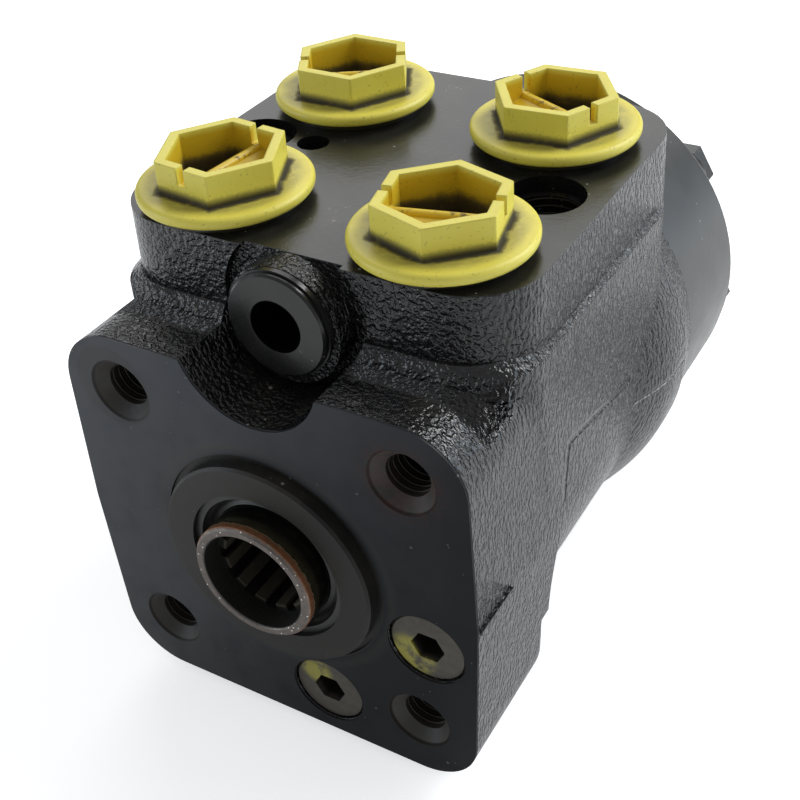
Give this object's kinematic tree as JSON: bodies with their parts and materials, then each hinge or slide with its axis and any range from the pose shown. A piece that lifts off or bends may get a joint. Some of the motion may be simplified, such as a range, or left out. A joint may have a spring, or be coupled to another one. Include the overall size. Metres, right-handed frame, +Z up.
{
  "type": "orbital steering unit",
  "caption": "Rotary valve and orbiting gear set in one ported housing: it meters oil to a steering cylinder as the column turns its splined spool.",
  "frame": {"origin": "centre of the mounting face, where the shaft axis crosses it", "axes": "+Y along the shaft axis from the mounting face to the end cover, +Z up to the port face, +X to the right seen from the steering column"},
  "size_m": [0.0916, 0.143, 0.1112],
  "materials": {
    "cast_iron_paint": "gloss paint over rough casting",
    "machined_steel": "ground",
    "spring_steel": "satin",
    "hardened_steel": "polished",
    "black_rubber": "matte",
    "plated_plug": "dull plated",
    "yellow_plastic": "satin, dirty",
    "painted_screw": "gloss paint"
  },
  "bodies": {
    "unit": {"housing": "cast_iron_paint", "dust_seal": "black_rubber", "shaft_seal": "black_rubber", "bearing_outer_race": "hardened_steel", "distributor_plate": "cast_iron_paint", "gear_ring": "cast_iron_paint", "end_cover": "cast_iron_paint", "cover_screws": "painted_screw", "pinned_screw": "painted_screw", "rolled_pin": "spring_steel", "screw_washers": "painted_screw", "o_ring_front": "black_rubber", "o_ring_middle": "black_rubber", "o_ring_rear": "black_rubber", "relief_plug": "painted_screw", "relief_seal": "painted_screw", "relief_spring": "spring_steel", "relief_seat": "hardened_steel", "shock_plugs": "plated_plug", "shock_seals": "plated_plug", "shock_springs": "spring_steel", "suction_pins": "machined_steel", "check_bushing": "machined_steel", "cap_front_left": "yellow_plastic", "cap_front_right": "yellow_plastic", "cap_rear_left": "yellow_plastic", "cap_rear_right": "yellow_plastic"},
    "valve_sleeve": {"sleeve": "machined_steel", "centring_ring": "machined_steel", "cross_pin": "hardened_steel", "centring_springs": "spring_steel", "bearing_inner_race": "hardened_steel"},
    "valve_spool": {"spool": "machined_steel"},
    "needle_cage": {"bearing_cage": "spring_steel", "bearing_needles": "hardened_steel"},
    "orbit": {"spacer_disc": "machined_steel"},
    "rotor": {"gear_rotor": "machined_steel"},
    "cardan": {"cardan_shaft": "machined_steel"},
    "relief_valve": {"relief_poppet": "hardened_steel"},
    "shock_valve_right": {"shock_ball_right": "hardened_steel"},
    "shock_valve_lower": {"shock_ball_lower": "hardened_steel"},
    "suction_valve_left": {"suction_ball_left": "hardened_steel"},
    "suction_valve_right": {"suction_ball_right": "hardened_steel"},
    "check_valve": {"check_ball": "hardened_steel"}
  },
  "joints": [
    {"name": "sleeve_spin", "type": "hinge", "parent": "unit", "child": "valve_sleeve", "pos_m": [0, 0, 0], "axis": [0, -1, 0], "continuous": true},
    {"name": "spool_deflection", "type": "hinge", "parent": "valve_sleeve", "child": "valve_spool", "pos_m": [0, 0, 0], "axis": [0, -1, 0], "range_deg": [-8, 8], "stiffness_Nm_per_rad": 3},
    {"name": "cage_spin", "type": "hinge", "parent": "unit", "child": "needle_cage", "pos_m": [0, 0.0116, 0], "axis": [0, -1, 0], "continuous": true},
    {"name": "rotor_orbit", "type": "hinge", "parent": "unit", "child": "orbit", "pos_m": [0, 0.111, 0], "axis": [0, -1, 0], "continuous": true},
    {"name": "rotor_spin", "type": "hinge", "parent": "orbit", "child": "rotor", "pos_m": [0, 0.111, -0.0035], "axis": [0, -1, 0], "continuous": true},
    {"name": "cardan_spin", "type": "hinge", "parent": "orbit", "child": "cardan", "pos_m": [0, 0.04, 0], "axis": [0, -0.9987, 0.0506], "continuous": true},
    {"name": "relief_lift", "type": "slide", "parent": "unit", "child": "relief_valve", "axis": [0, -1, 0], "range_m": [0, 0.0008], "stiffness_N_per_m": 2000},
    {"name": "shock_right_lift", "type": "slide", "parent": "unit", "child": "shock_valve_right", "axis": [0, -1, 0], "range_m": [0, 0.0008], "stiffness_N_per_m": 1000},
    {"name": "shock_lower_lift", "type": "slide", "parent": "unit", "child": "shock_valve_lower", "axis": [0, -1, 0], "range_m": [0, 0.0008], "stiffness_N_per_m": 1000},
    {"name": "suction_left_lift", "type": "slide", "parent": "unit", "child": "suction_valve_left", "axis": [0, 1, 0], "range_m": [0, 0.0008]},
    {"name": "suction_right_lift", "type": "slide", "parent": "unit", "child": "suction_valve_right", "axis": [0, 1, 0], "range_m": [0, 0.0008]},
    {"name": "check_lift", "type": "slide", "parent": "unit", "child": "check_valve", "axis": [0, 0, 1], "range_m": [0, 0.0008]}
  ],
  "couplings": [
    {"joint": "cage_spin", "follows": "sleeve_spin", "ratio": 0.5},
    {"joint": "rotor_orbit", "follows": "sleeve_spin", "ratio": -6},
    {"joint": "rotor_spin", "follows": "sleeve_spin", "ratio": 7},
    {"joint": "cardan_spin", "follows": "sleeve_spin", "ratio": 7}
  ]
}
